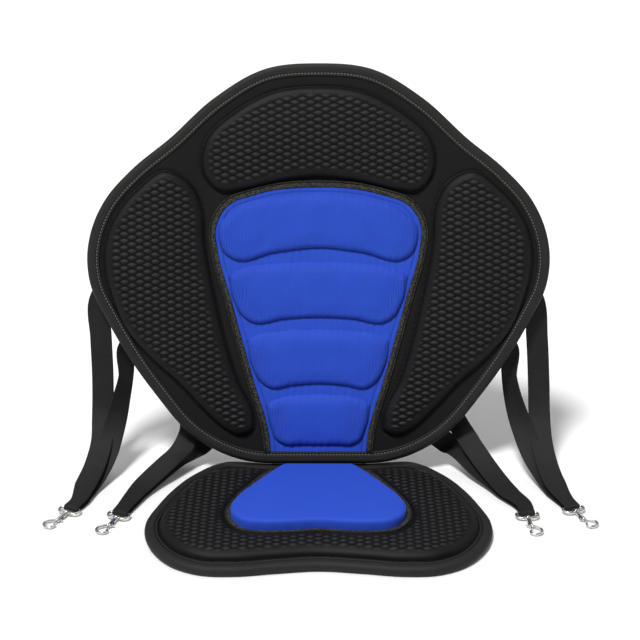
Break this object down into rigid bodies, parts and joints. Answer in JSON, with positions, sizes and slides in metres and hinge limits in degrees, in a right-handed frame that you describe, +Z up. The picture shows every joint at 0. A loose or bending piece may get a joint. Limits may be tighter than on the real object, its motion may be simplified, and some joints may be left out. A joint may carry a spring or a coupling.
{
  "type": "kayak seat",
  "caption": "Padded kayak seat with a tall cupped backrest, a wide folding seat pad and webbing straps that end in swivel bolt snaps.",
  "frame": {"origin": "on the seat's flat underside, below the middle of the seat pad", "axes": "+X to the right of someone facing the seat, -Y towards the seat's front, +Z up"},
  "size_m": [0.606, 0.3687, 0.4515],
  "materials": {
    "moulded_fabric": "matt knitted cloth moulded over foam",
    "base_fabric": "plain coated cloth",
    "foam": "closed-cell foam sheet, hidden inside",
    "blue_fabric": "blue cloth with a fine weave",
    "stitched_trim": "olive and charcoal sewn tape",
    "binding_tape": "folded edge tape",
    "webbing": "woven polypropylene strap",
    "buckle_plastic": "moulded plastic",
    "nickel": "nickel-plated casting"
  },
  "bodies": {
    "backrest": {"backrest_back_cover": "moulded_fabric", "backrest_core": "foam", "backrest_front_cover": "moulded_fabric", "back_center_panel": "blue_fabric", "center_panel_trim": "stitched_trim", "backrest_edge_binding": "binding_tape", "strap_upper_left": "webbing", "strap_upper_right": "webbing", "strap_lower_left": "webbing", "strap_lower_right": "webbing", "strap_tab_upper_left": "webbing", "strap_tab_upper_right": "webbing", "strap_tab_lower_left": "webbing", "strap_tab_lower_right": "webbing", "slide_buckle_upper_left": "buckle_plastic", "slide_buckle_upper_right": "buckle_plastic", "slide_buckle_lower_left": "buckle_plastic", "slide_buckle_lower_right": "buckle_plastic"},
    "seat": {"seat_base_cover": "base_fabric", "seat_core": "foam", "seat_top_cover": "moulded_fabric", "seat_center_pad": "blue_fabric", "seat_pad_trim": "stitched_trim", "seat_edge_binding": "binding_tape", "hinge_tape": "binding_tape"},
    "eye_upper_left": {"swivel_eye_upper_left": "nickel"},
    "hook_upper_left": {"hook_body_upper_left": "nickel"},
    "bolt_upper_left": {"hook_bolt_upper_left": "nickel"},
    "eye_upper_right": {"swivel_eye_upper_right": "nickel"},
    "hook_upper_right": {"hook_body_upper_right": "nickel"},
    "bolt_upper_right": {"hook_bolt_upper_right": "nickel"},
    "eye_lower_left": {"swivel_eye_lower_left": "nickel"},
    "hook_lower_left": {"hook_body_lower_left": "nickel"},
    "bolt_lower_left": {"hook_bolt_lower_left": "nickel"},
    "eye_lower_right": {"swivel_eye_lower_right": "nickel"},
    "hook_lower_right": {"hook_body_lower_right": "nickel"},
    "bolt_lower_right": {"hook_bolt_lower_right": "nickel"}
  },
  "joints": [
    {"name": "seat_fold", "type": "hinge", "parent": "backrest", "child": "seat", "pos_m": [0, 0.115, 0.018], "axis": [-1, 0, 0], "range_deg": [-70, 70]},
    {"name": "eye_swing_upper_left", "type": "hinge", "parent": "backrest", "child": "eye_upper_left", "pos_m": [-0.27307, 0.02001, 0.0038], "axis": [-0.9063, 0.4226, 0], "range_deg": [-40, 40]},
    {"name": "hook_swivel_upper_left", "type": "hinge", "parent": "eye_upper_left", "child": "hook_upper_left", "pos_m": [-0.2775, 0.0105, 0.0034], "axis": [-0.4223, -0.9056, -0.0384], "continuous": true},
    {"name": "bolt_slide_upper_left", "type": "slide", "parent": "hook_upper_left", "child": "bolt_upper_left", "axis": [0.4223, 0.9056, 0.0384], "range_m": [0, 0.005], "stiffness_N_per_m": 600, "springref_m": -0.004},
    {"name": "eye_swing_upper_right", "type": "hinge", "parent": "backrest", "child": "eye_upper_right", "pos_m": [0.28024, 0.02279, 0.0038], "axis": [-0.9336, -0.3584, 0], "range_deg": [-40, 40]},
    {"name": "hook_swivel_upper_right", "type": "hinge", "parent": "eye_upper_right", "child": "hook_upper_right", "pos_m": [0.284, 0.013, 0.0034], "axis": [0.3581, -0.9329, -0.0384], "continuous": true},
    {"name": "bolt_slide_upper_right", "type": "slide", "parent": "hook_upper_right", "child": "bolt_upper_right", "axis": [-0.3581, 0.9329, 0.0384], "range_m": [0, 0.005], "stiffness_N_per_m": 600, "springref_m": -0.004},
    {"name": "eye_swing_lower_left", "type": "hinge", "parent": "backrest", "child": "eye_lower_left", "pos_m": [-0.21808, 0.00892, 0.0038], "axis": [-0.9455, 0.3256, 0], "range_deg": [-40, 40]},
    {"name": "hook_swivel_lower_left", "type": "hinge", "parent": "eye_lower_left", "child": "hook_lower_left", "pos_m": [-0.2215, -0.001, 0.0034], "axis": [-0.3253, -0.9448, -0.0384], "continuous": true},
    {"name": "bolt_slide_lower_left", "type": "slide", "parent": "hook_lower_left", "child": "bolt_lower_left", "axis": [0.3253, 0.9448, 0.0384], "range_m": [0, 0.005], "stiffness_N_per_m": 600, "springref_m": -0.004},
    {"name": "eye_swing_lower_right", "type": "hinge", "parent": "backrest", "child": "eye_lower_right", "pos_m": [0.22897, 0.00897, 0.0038], "axis": [-0.9976, -0.0698, 0], "range_deg": [-40, 40]},
    {"name": "hook_swivel_lower_right", "type": "hinge", "parent": "eye_lower_right", "child": "hook_lower_right", "pos_m": [0.2297, -0.0015, 0.0034], "axis": [0.0697, -0.9968, -0.0384], "continuous": true},
    {"name": "bolt_slide_lower_right", "type": "slide", "parent": "hook_lower_right", "child": "bolt_lower_right", "axis": [-0.0697, 0.9968, 0.0384], "range_m": [0, 0.005], "stiffness_N_per_m": 600, "springref_m": -0.004}
  ]
}
